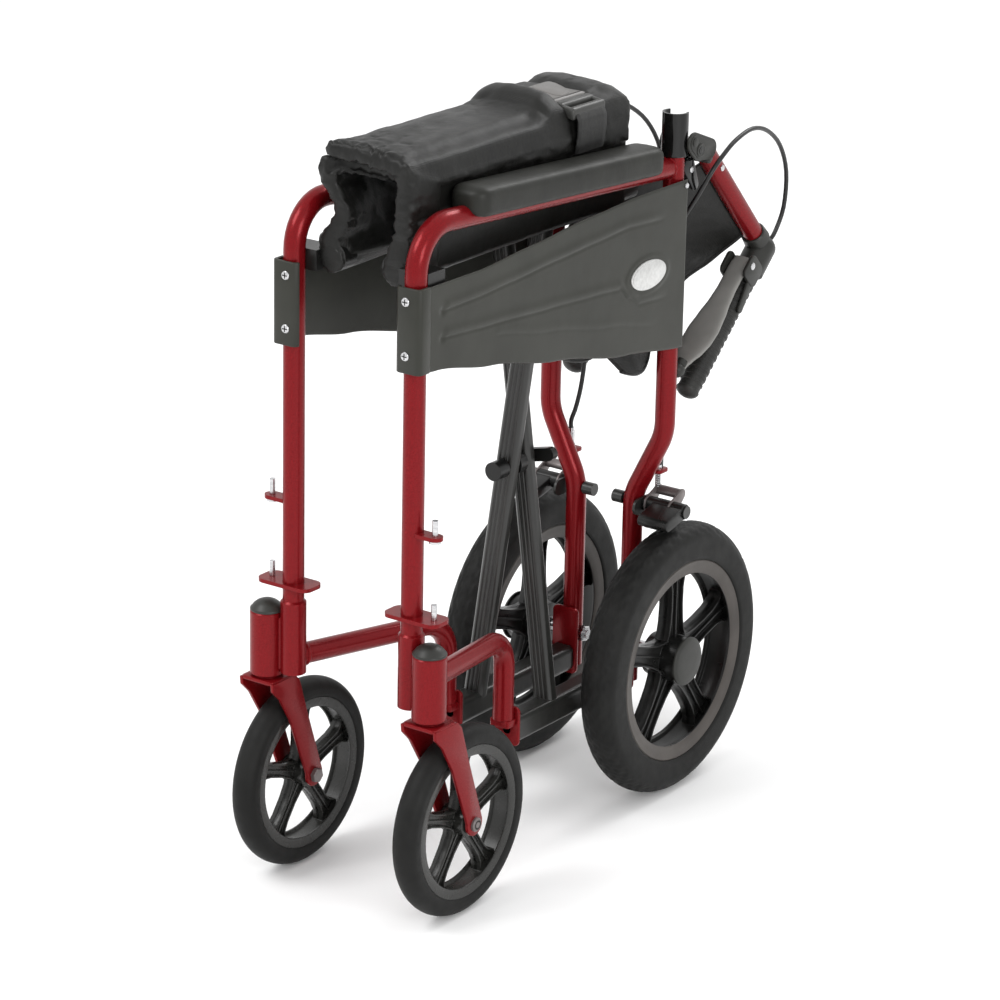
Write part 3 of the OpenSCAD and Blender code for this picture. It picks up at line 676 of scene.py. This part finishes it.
def armrest_pads():
    slope = math.atan2(26.5, BASE_Y)
    rows, around, long = 56, 40, 328

    def along(t):
        return long * (0.5 - 0.5 * math.cos(math.pi * t))

    def section(i, t):
        end = min(along(t), long - along(t))
        grow = math.sqrt(max(0.0, 1 - (1 - min(1, end / 16)) ** 2))
        w, h = 6 + 16 * grow, 5 + 9.6 * grow
        out = []
        for c, d in circle(1, around):
            u = math.copysign(abs(c) ** 0.42, c) * w
            v = math.copysign(abs(d) ** (0.55 if d > 0 else 0.35), d) * h
            crown = 1.6 * (1 - (u / 22) ** 2) if v > 0 else 0
            out.append((u, 1.2 * (1 - grow) - v - crown))
        return out

    def on_arm(v):
        y, z = 74 + v.y, 14 + v.z
        return Vector((SIDE_X + v.x, y * math.cos(slope) + z * math.sin(slope),
                       718.5 - y * math.sin(slope) + z * math.cos(slope)))
    for name, k in SIDES:
        s = Shape(k, on_arm)
        s.sweep([(0, along(i / (rows - 1)), 0) for i in range(rows)], section, ACROSS)
        obj = s.twin("arm_pad", "pad", "frame", ["armrest_pad"], 0)


both(frame_tubes)
both(wheels)
armrest_pads()


def blend_line(points, y):
    """A smooth height along points (y, z)."""
    for (a, p), (b, q) in zip(points, points[1:]):
        if y <= b:
            t = max(0.0, (y - a) / (b - a))
            return p + (q - p) * t * t * (3 - 2 * t) * 0.5 + (q - p) * t * 0.5
    return points[-1][1]


PANEL_TOP = [(-11, 661), (30, 661), (87, 661), (168, 667), (269, 675), (360, 679), (452, 679)]
PANEL_LOW = [(-11, 577), (20, 575), (106, 559), (217, 537), (340, 513), (452, 497)]
CREASES = ([(25, 633), (81, 634), (136, 637), (213, 642), (288, 646), (340, 649), (412, 645)],
           [(24, 606), (105, 601), (204, 595), (290, 590), (328, 587), (345, 573), (365, 563),
            (417, 560)], [(110, 589), (205, 571), (310, 551), (400, 533)])


def panel_relief(y, z):
    """How far the moulded panel's face stands out at a point, in millimetres."""
    out = 0.5 * math.sin((y + 20) / 470 * math.pi) * math.sin((z - 500) / 160 * math.pi)
    for n, line in enumerate(CREASES):
        d = z - blend_line(line, y)
        fade = min(1, max(0, (y - line[0][0]) / 8)) * min(1, max(0, (line[-1][0] - y) / 25))
        deep = (0.9, 0.9, 0.35)[n]
        out += fade * deep * (-math.exp(-(d / 1.7) ** 2) + 1.1 * math.exp(-((d - 5) / 5) ** 2))
    for at in (633, 606):
        q = ((y - 24) ** 2 + (z - at) ** 2) / 14
        out -= 1.6 * math.exp(-q)
    q = ((y - 379) / 39) ** 2 + ((z - 592) / 20) ** 2
    return out + (0.8 if q < 1 else 0.8 * math.exp(-(q - 1) * 9))


def side_panels(name, k):
    s = Shape(k)
    cols, rows = 240, 110
    verts = []
    for face in (0, 1):
        for i in range(cols + 1):
            y = -9 + 461 * i / cols
            top, low = blend_line(PANEL_TOP, y), blend_line(PANEL_LOW, y)
            for j in range(rows + 1):
                t = j / rows
                z = low + (top - low) * t
                edge = min(t, 1 - t) * (top - low)
                tip = min(edge, 452 - y)
                soft = 1.2 * (1 - min(1, tip / 1.2)) ** 2
                x = 88.6 + panel_relief(y, z) - soft if face else 86.0 + soft
                verts.append((x, y, z))
    s.slab(verts, cols, rows)
    hook = ([(60.2, -9), (61.5, -13), (65, -15), (83, -15)] + arc(84.5, -9, 6, -80, -5, 6)
            + [(90.5, 1), (89.4, 3.4), (86.4, 3.4), (86.2, -8)] + arc(84, -9.2, 2.2, -10, -90, 4)
            + [(66, -11.6), (64, -10.4), (63, -8)])
    s.flat_plate(hook, 576.5, 662, 0.9)
    s.twin("guard", "grey_plastic", "frame", ["side_panel"], 50)
    s = Shape(k)
    oval = [(379 + 32 * math.cos(math.tau * a / 64), 592 + 15.5 * math.sin(math.tau * a / 64))
            for a in range(64)]
    s.side_plate(oval, 88.8, 91, 0.9)
    inner = inset(oval, 2.2)
    s.side_plate(inner, 90.8, 91.5, 0.3)
    s.twin("badge", "badge", "frame")
    s = Shape(k)
    for z in (594, 648):
        s.bolt((73, -15, z), (0, -1, 0), 4.6, 1.5, 28, 0.6)
    s.bolt((89, 447, 673), ACROSS, 3, 1.4, 28, 0.6)
    s.tube([(48.1, BASE_Y, 150), (116, BASE_Y, 150)], 6)
    s.lathe((48.1, BASE_Y, 150), ACROSS, [(0, 9.4), (18.6, 9.4), (19.4, 8.6)], 32)
    s.hexagon((25.8, BASE_Y, 150), (-1, 0, 0), 9.4, 7)
    s.tube([(25.9, BASE_Y, 150), (16, BASE_Y, 150)], 5)
    s.twin("screws", "steel", "frame", ["hardware"])
    s = Shape(k)
    # Painted shade: thin black crosses laid on the steel screw heads stand in for the shade inside
    # their Phillips recesses
    for z in (594, 648):
        for w, h in ((3.0, 0.6), (0.6, 3.0)):
            s.front_plate([(73 - w, z - h), (73 + w, z - h), (73 + w, z + h), (73 - w, z + h)],
                          -16.7, -16.3, 0.05)
    s.twin("screw_slot_shade", "black_metal", "frame")


def handle_parts(name, k):
    s = Shape(k, on_back)
    s.tube([(SIDE_X, -20, 26), (SIDE_X, -20, 196)], TUBE_R)
    s.twin("back_post", "painted_frame", "back", ["back_tube"])
    s = Shape(k, on_back)
    s.bolt((84.6, -20, 62), ACROSS, 3.4, 1.6)
    s.bolt((90.6, 18, 190), ACROSS, 4, 1)
    s.twin("back_bolts", "steel", "back")
    s = Shape(k, on_back)
    for side in (-1, 1):
        x = SIDE_X + side * 16.75
        outline = hull_of([(1, -13, 11.5), (0, 0, 12), (-14, 17, 11)])
        s.side_plate(outline, x - 1.75, x + 1.75, 1.2)
    s.flat_plate(round_rect(57.5, -13, 90.5, -4, 3), 20, 32, 1.6)
    s.side_plate(hull_of([(1, -13, 8.5), (0, 0, 9), (-14, 17, 8)]), 92, 93.6, 0.7)
    s.lathe((93, 0, 0), ACROSS, [(0, 7.4), (1.4, 7.2), (1.9, 6.2), (1.5, 3.4), (2.0, 2.4),
                                 (2.2, 0.8)], 32)
    s.bolt((93.4, 1, -15), ACROSS, 4.6, 1.8)
    s.twin("hinge_casting", "hub_grey", "back")
    s = Shape(k)
    s.lathe((SIDE_X, BASE_Y, 0), UP, [(703.5, 11.2), (703.5, 13.4), (704.3, 14), (731, 14),
                                      (731, 11.8), (711, 11.8), (711, 1)], 64)
    trough = arc(0, 0, 14, 150, 390, 40) + arc(0, 0, 11.8, 390, 150, 40)
    s.sweep([(SIDE_X, BASE_Y, 730.6 + 19.4 * i / 4) for i in range(5)], lambda i, t: trough, ACROSS)
    s.side_plate(hull_of([(BASE_Y + 12, 700, 9), (*HINGE, 9.5)]), 69, 79, 1.4)
    s.side_plate(round_rect(BASE_Y + 8, 674, BASE_Y + 21, 704, 3), 69.5, 78.5, 1.2)
    s.tube([(54, *HINGE), (95, *HINGE)], 4)
    s.side_plate(hull_of([(BASE_Y + 15, 690, 10), (BASE_Y + 28, 668, 6)]), 79, 84, 1.2)
    s.twin("post_socket", "gloss_black", "frame", ["hinge_socket"])
    s = Shape(k)
    s.bolt((84, BASE_Y + 18, 686), ACROSS, 3.2, 1.6)
    s.twin("socket_screw", "steel", "frame")
    s = Shape(k, on_back)

    def body(i, t):
        d = -33 + 45 * t
        r = 17 * math.sqrt(max(0.02, 1 - max(0, (-20 - d) / 13) ** 2))
        return [(c * r * 0.93, e * r) for c, e in circle(1, 36)]
    s.sweep([(SIDE_X, -33 + 45 * i / 24, 212) for i in range(25)], body, ACROSS)
    s.lathe((SIDE_X, -20, 184), UP, [(0, 11.1), (0, 12.4), (1.2, 13.5), (14, 14.5)], 40)
    for side in (-1, 1):
        s.side_plate(round_rect(6, 182, 34, 212, 7), SIDE_X + side * 14.5 - 2,
                     SIDE_X + side * 14.5 + 2, 1.1)
        s.side_plate(hull_of([(20, 200, 6), (62, 209, 4.5)]), SIDE_X + side * 14.2 - 1.4,
                     SIDE_X + side * 14.2 + 1.4, 0.8)
    s.twin("brake_housing", "hub_grey", "back", ["push_grip"])
    s = Shape(k, on_back)

    def ribs(i, t):
        d = 8 + 168 * t
        r = 12.0 + (0.9 if 24 < d < 160 and int((d - 24) / 4.6) % 2 else 0)
        if d > 168:
            r = 12.9 * math.sqrt(max(0.05, 1 - ((d - 168) / 8.2) ** 2))
        return circle(r, 36)
    s.sweep([(SIDE_X, 8 + 168 * i / 170, 212) for i in range(171)], ribs, ACROSS)
    s.twin("hand_grip", "grip", "back")
    s = Shape(k, on_back)
    tilt = math.radians(4.5)

    def lever_at(along, lift=0.0):
        return (SIDE_X, 18 + along * math.cos(tilt) + lift * math.sin(tilt),
                190 - along * math.sin(tilt) + lift * math.cos(tilt))
    widths = [(-8, 9), (0, 11), (14, 11.4), (32, 11.4), (50, 13), (70, 16.4), (90, 18.8),
              (106, 18.4), (120, 15.5), (132, 10.5), (140, 7.4), (149, 6.4)]

    def plate(i, t):
        along = -8 + 156 * t
        w = blend_line(widths, along)
        h = 3.6 - (0.8 if along > 126 else 0)
        return [(math.copysign(abs(c) ** 0.7, c) * w, math.copysign(abs(e) ** 0.7, e) * h)
                for c, e in circle(1, 36)]
    s.sweep([lever_at(-8 + 156 * i / 60,
                      -0.5 + 3.8 * math.sin(i / 60 * math.pi)) for i in range(61)], plate, ACROSS)
    s.twin("lever_plate", "light_plastic", "brake_lever", ["brake_lever"])
    s = Shape(k, on_back)
    ball = [(8.2 * math.cos(math.radians(180 - a)), 8.2 * math.sin(math.radians(180 - a)) + 0.01)
            for a in range(0, 181, 12)]
    s.lathe(lever_at(148, -1), (0, math.cos(tilt), -math.sin(tilt)), ball, 32)
    s.lathe(lever_at(135, -1), (0, math.cos(tilt), -math.sin(tilt)), [(0, 3), (0.6, 6.6), (3, 7.2),
                                                                      (8, 7)], 32)
    s.twin("lever_ball", "hub_grey", "brake_lever")


def back_slings(name, k):
    rows, cols = 44, 60
    verts = []

    def place(a, b):
        low = 50 - 44 * max(0, min(1, (a - 0.09) / 0.14))
        high = 180 + 6 * min(1, 5 * a) - 8 * a * a - 45 * max(0, (a - 0.82) / 0.18) ** 2
        s = low + (high - low) * b
        drop = -14 + 218 * a
        wave = 5.5 * math.sin(7.2 * a + 2.4 * b) * min(1, 3 * a)
        wave += 3.2 * noise.noise(Vector((a * 6, b * 3, 1.7 * k))) * min(1, 4 * a)
        wave += 1.6 * noise.noise(Vector((a * 13 + b * 4, b * 7, 4.1 * k))) * min(1, 4 * a)
        x = 67 - 48 * math.sin(min(1, a / 0.5) * math.pi / 2) + wave
        x += (34 * b - 12) * max(0, (a - 0.5) / 0.5) ** 2
        sag = 3.5 * math.sin(math.pi * b) * a
        return on_back(Vector((x, drop + 0.35 * sag, s)))
    thick = 1.1
    grid = [[place(a / cols, b / rows) for b in range(rows + 1)] for a in range(cols + 1)]
    for side in (1, -1):
        for a in range(cols + 1):
            for b in range(rows + 1):
                p = grid[a][b]
                u = grid[min(a + 1, cols)][b] - grid[max(a - 1, 0)][b]
                v = grid[a][min(b + 1, rows)] - grid[a][max(b - 1, 0)]
                verts.append(p + u.cross(v).normalized() * thick * side)
    s = Shape(k)
    s.slab(verts, cols, rows)
    obj = s.twin("back_cloth", "fabric", "back_sling", ["back_sling"], 0)
    hem = Shape(k)
    edge = [grid[i][0] for i in range(cols + 1)]
    other = [grid[i][rows] for i in range(cols + 1)]
    for line in (edge, other):
        hem.sweep(line, lambda i, t: circle(2.1, 10), ACROSS)
    trim = hem.piece(name + "_back_hem", "fabric", name + "_back_sling", (), 0)


def brakes(name, k):
    s = Shape(k)
    s.lathe((53, BASE_Y, 318), ACROSS, [(0, 5), (0, 8), (1, 8.5), (50, 8.5), (51, 7.8), (51, 4)],
            36)
    s.side_plate(hull_of([(BASE_Y - 2, 317, 7), (BASE_Y - 30, 310, 6.5)]), 66, 104, 1.6)
    s.side_plate(hull_of([(BASE_Y - 6, 309, 4), (BASE_Y - 26, 304, 3)]), 70, 100, 1)
    s.twin("brake_shoe", "black_plastic", "brake_arm", ["brake_arm"])
    s = Shape(k)
    for x in (56, 86):
        s.side_plate(hull_of([(BASE_Y, 318, 9.6), (BASE_Y + 17.5, 330, 6)]), x, x + 2.4, 0.6)
    s.side_plate(hull_of([(BASE_Y + 15.5, 329, 4), (BASE_Y + 18, 330.5, 4.5)]), 56, 88, 1)
    s.twin("brake_link", "link_metal", "brake_arm")
    s = Shape(k)
    coil = [(57 + 2.7 * math.cos(a / 12 * math.tau), 461 + 2.7 * math.sin(a / 12 * math.tau),
             349.4 - a * 0.17) for a in range(97)]
    s.tube(coil, 0.75, 0, 8)
    s.tube([(57, 461, 376), (57, 461, 349)], 3.4, 0, 20)
    s.hexagon((57, 461, 354.2), UP, 5.2, 4)
    spring = s.piece(name + "_return_spring", "steel", None)
    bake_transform(spring)


both(side_panels)
both(handle_parts)
both(back_slings)
both(brakes)


def cushion_top(y):
    """Height of the seat's upper face along the chair: flat in front, two humps behind."""
    rise = 1 / (1 + math.exp(-(y - 247) / 6))
    crest = 17 - 8.5 / (1 + math.exp(-(y - STRAP_Y) / 8))
    strap = math.exp(-((y - STRAP_Y) / 30) ** 4)
    end = max(0.0, (y - 362) / 20) ** 2
    return crest * rise * (1 - strap) - 1.5 * strap - 5 * end


def seat_half(name, k):
    """One half of the folded seat: a sleeve on the rail, a padded wall and the top above it."""
    upper = k > 0
    base, high = (767.5, 780) if upper else (754.5, 766.5)
    reach = 47 if upper else 45
    outline = arc(37, 667, 16.3, 190, 350, 14)
    outline += [(53.6, 680), (54.6, 705), (55, 735), (56.5, base - 8), (57, base + 2),
                (55.5, high - 5), (51, high - 0.8), (42, high)]
    outline += [(20, high + 0.6), (-reach + 7, high - 0.6), (-reach + 1.5, high - 3),
                (-reach, (base + high) / 2), (-reach + 1.5, base + 2.5), (-reach + 7, base),
                (20, base), (32, base), (38, base - 5), (40, base - 16), (39, 730), (36, 705),
                (28, 686)]
    section = []
    for (a, b), (c, d) in zip(outline, outline[1:] + outline[:1]):
        steps = max(1, round(math.hypot(c - a, d - b) / 7))
        section += [(a + (c - a) * t / steps, b + (d - b) * t / steps) for t in range(steps)]
    s = Shape(k)
    s.sweep([(0, 9 + 381 * i / 60, 0) for i in range(61)],
            lambda i, t: [(x, -z) for x, z in section], ACROSS)
    obj = s.piece(name + "_seat", "fabric", None, (), 0)
    remesh = obj.modifiers.new("remesh", "REMESH")
    remesh.mode, remesh.voxel_size = "VOXEL", 0.0036
    bake(obj)
    rest = [v.co.copy() for v in obj.data.vertices]
    inflate(obj, 4.0, 20)
    wrap_seat(obj, rest, k, base, high)
    smooth_faces(obj)
    return obj


def bake(obj):
    """Applies every modifier of a piece."""
    tree = bpy.context.evaluated_depsgraph_get()
    mesh = bpy.data.meshes.new_from_object(obj.evaluated_get(tree))
    obj.modifiers.clear()
    obj.data = mesh


def smooth_faces(obj):
    for face in obj.data.polygons:
        face.use_smooth = True


def inflate(obj, pressure, frames):
    """Cloth simulation with pressure and no gravity, so that the cover fills out."""
    scene = bpy.context.scene
    cloth = obj.modifiers.new("cloth", "CLOTH")
    settings = cloth.settings
    settings.use_pressure, settings.uniform_pressure_force = True, pressure
    settings.effector_weights.gravity = 0
    settings.quality = 5
    settings.tension_stiffness = settings.compression_stiffness = 12
    settings.shear_stiffness, settings.bending_stiffness = 6, 0.3
    cloth.point_cache.frame_start, cloth.point_cache.frame_end = 1, frames
    cloth.collision_settings.use_self_collision = False
    scene.frame_start, scene.frame_end = 1, frames
    for frame_number in range(1, frames + 1):
        scene.frame_set(frame_number)
    bake(obj)
    scene.frame_set(1)


def crease(a, b):
    """A thin valley wherever a slow noise field passes through zero."""
    return max(0.0, 1 - abs(noise.noise(Vector((a, b, 5.7)))) / 0.09)


def wrap_seat(obj, rest, k, base, high):
    """Caps the simulated swelling, then adds the humps, the folds and the gathered front hem."""
    cap = 2.6
    for v, start in zip(obj.data.vertices, rest):
        move = (v.co - start) * 1000
        if move.length > cap:
            move *= cap / move.length
        p = start * 1000 + move
        x, y, z = p.x * k, p.y - Y0, p.z
        layer = z > base - 2 and x < 44
        face = max(0.0, min(1.0, (z - (base + high) / 2) / 5))
        if k > 0:
            across = 1 - 0.35 * ((x - 4) / 54) ** 2
            z += cushion_top(y) * across * face
            z += face * (1.1 * noise.noise(Vector((x / 30 + y / 55, y / 38, 3)))
                         + 0.9 * noise.noise(Vector((x / 13, y / 34 + x / 18, 9)))
                         - 1.1 * crease(x / 24 + y / 60, y / 30 - x / 40)
                         * min(1.0, abs(y - 150) / 90))
            z -= face * 1.7 * math.exp(-((y - 244 - 0.12 * x) / 3.2) ** 2)
            near = max(0.0, min(1.0, (x - 44) / 8)) * max(0.0, min(1.0, (z - 735) / 10))
            x -= near * 2.2 * math.exp(-((y - 283) / 2.6) ** 2)
            x -= near * 1.6 * math.exp(-((y - 338) / 3.0) ** 2)
        fold = noise.noise(Vector((z / 26 + 5 * k, y / 42, 1.5 * k)))
        wall = max(0.0, min(1.0, (base - z) / 25)) * max(0.0, min(1.0, (z - 684) / 10))
        x += wall * (2.4 * fold + 1.4 * noise.noise(Vector((z / 60, y / 14, 8)))
                     - 1.2 * crease(z / 24, y / 40 + z / 50))
        front = math.exp(-max(0, y - 14) / 14)
        if k < 0:
            x -= wall * 20 * math.exp(-((z - 712) / 24) ** 2) * math.exp(-max(0, y - 16) / 60)
        if front > 0.02:
            run = x if z > base - 6 else 60 + (base - z)
            gather = math.sin(run / 1.9 + 2.8 * noise.noise(Vector((run / 11, k, 2))))
            gather = gather * 0.7 + 1.9 * noise.noise(Vector((run / 5.5, y / 7, 5 * k)))
            low = z < 684
            z += front * gather * (2.1 if z > base - 6 else 0.3)
            x += front * gather * (0.3 if z > base - 6 or low else 2.1)
            if layer:
                z -= 2.2 * front * noise.noise(Vector((x / 17, 3, 6 * k)))
            y += front * (1.0 + 2.2 * noise.noise(Vector((run / 8, z / 7, 4))))
            if k < 0 and layer:
                y += 11 * front
            if k > 0 and layer:
                z -= 7 * math.exp(-max(0, y - 9) / 9) * (1 - face)
        if k > 0 and layer:
            z = max(z, 767.3 - 7 * math.exp(-max(0, y - 9) / 9))
        elif k < 0 and layer:
            z = min(z, 767.0)
        pad_top = 718.5 + 31 - 0.0596 * y
        x = min(x, 51.2 if z < pad_top and y > 62 else 59)
        z -= 0.085 * max(0.0, x * k + 10) * max(0.0, min(1.0, (z - 742) / 18))
        v.co = P(x * k, max(y, 8), z)


def seats(name, k):
    obj = seat_half(name, k)
    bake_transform(obj)
    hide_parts(name + "_seat_wall", name + "_seat_top")


def strap_and_buckle():
    def ribbon(path, half, name, body, nodes=()):
        s = Shape()
        fine = [Vector((x, 0, z)) for x, z in path]
        fine = rounded_path(fine, 5, 5)
        n = len(fine)
        rows = 8
        verts = []
        for side in (0, 1):
            for i, p in enumerate(fine):
                ahead = (fine[min(i + 1, n - 1)] - fine[max(i - 1, 0)]).normalized()
                up = Vector((-ahead.z, 0, ahead.x))
                if up.z < 0 and abs(ahead.x) > 0.3:
                    up = -up
                for j in range(rows + 1):
                    w = -half + 2 * half * j / rows
                    edge = 0.25 if j in (0, rows) else 0
                    rib = 0.12 * math.cos(w / half * 12)
                    h = (0.85 - edge + rib) * (1 if side else -1)
                    verts.append(p + Vector((0, STRAP_Y + w, 0)) + up * h)
        s.slab(verts, n - 1, rows)
        s.piece(name, "webbing", body, nodes, 0)

    ribbon([(44, 775.5), (52, 775.2), (58.5, 773.4), (62, 767), (62.3, 756), (60.5, 742),
            (58.6, 732)], 25, "lap_webbing", "left_seat_top", ["lap_strap"])
    ribbon([(-6, 783.4), (-20, 784), (-40, 783), (-48, 780.5), (-50.5, 774), (-49.5, 767)], 25,
           "lap_webbing_far", "left_seat_top")

    def lean(v):
        return Vector((v.x, v.y, v.z - 6.5 - 0.125 * (v.x + 12)))
    s = Shape(1, lean)
    near = [(-12, 288), (-9, 283), (0, 281.5), (8, 284), (15, 286.5), (22, 284), (29, 280),
            (34, 279)]
    s.flat_plate(near + [(x, 2 * STRAP_Y - y) for x, y in reversed(near)], 782, 796.5, 4.4)
    s.flat_plate(round_rect(-8, 296, 28, 322, 8), 795.5, 797.1, 0.7)
    s.piece("lap_buckle", "buckle_grey", "left_seat_top", ["buckle_socket"], 40)
    s = Shape(1, lean)
    s.flat_plate(round_rect(34.5, 280, 45, 338, 3), 783, 796, 3)
    s.flat_plate(round_rect(42, 280, 55, 286, 2), 783, 794.5, 1.8)
    s.flat_plate(round_rect(42, 332, 55, 338, 2), 783, 794.5, 1.8)
    s.flat_plate(round_rect(50.5, 280, 59, 338, 3.4), 782, 795, 3.6)
    for side in (-1, 1):
        s.flat_plate(hull_of([(36, STRAP_Y + side * 22, 3), (12, STRAP_Y + side * 27, 2.4)]), 787,
                     792.5, 0.8)
    s.piece("lap_buckle_plug", "buckle_dark", "buckle_plug", ["buckle_plug"], 40)


both(seats)
strap_and_buckle()


# ---------------------------------------------------------------- floor and light


def make_stage():
    n = surface("floor", (0.93, 0.93, 0.93), (0.95, 0.95, 0.95), 0.8, [(30, 0.0002, (1, 1, 1))],
                colour_scale=3, specular=0.1)
    mesh = bpy.data.meshes.new("floor")
    mesh.from_pydata([(-9, -9, 0), (9, -9, 0), (9, 9, 0), (-9, 9, 0)], [], [(0, 1, 2, 3)])
    mesh.materials.append(n.material)
    link("floor", mesh)
    world = bpy.data.worlds.new("studio")
    world.use_nodes = True
    world.node_tree.nodes["Background"].inputs["Color"].default_value = (1, 1, 1, 1)
    world.node_tree.nodes["Background"].inputs["Strength"].default_value = 1.0
    bpy.context.scene.world = world
    target = Vector((0, 0, 0.4))
    for name, at, size, power in (("key", (-1.4, -2.4, 3.4), 1.8, 70),
                                  ("side", (3.2, -1.6, 1.8), 1.4, 40),
                                  ("rim", (0.4, 2.8, 3.0), 1.4, 40)):
        light = bpy.data.lights.new(name, "AREA")
        light.shape, light.size, light.energy = "SQUARE", size, power
        lamp = bpy.data.objects.new(name, light)
        lamp.location = at
        lamp.rotation_euler = (target - Vector(at)).to_track_quat("-Z", "Y").to_euler()
        bpy.context.scene.collection.objects.link(lamp)


make_stage()
bpy.context.scene.view_settings.view_transform = "Standard"

bpy.context.view_layer.update()
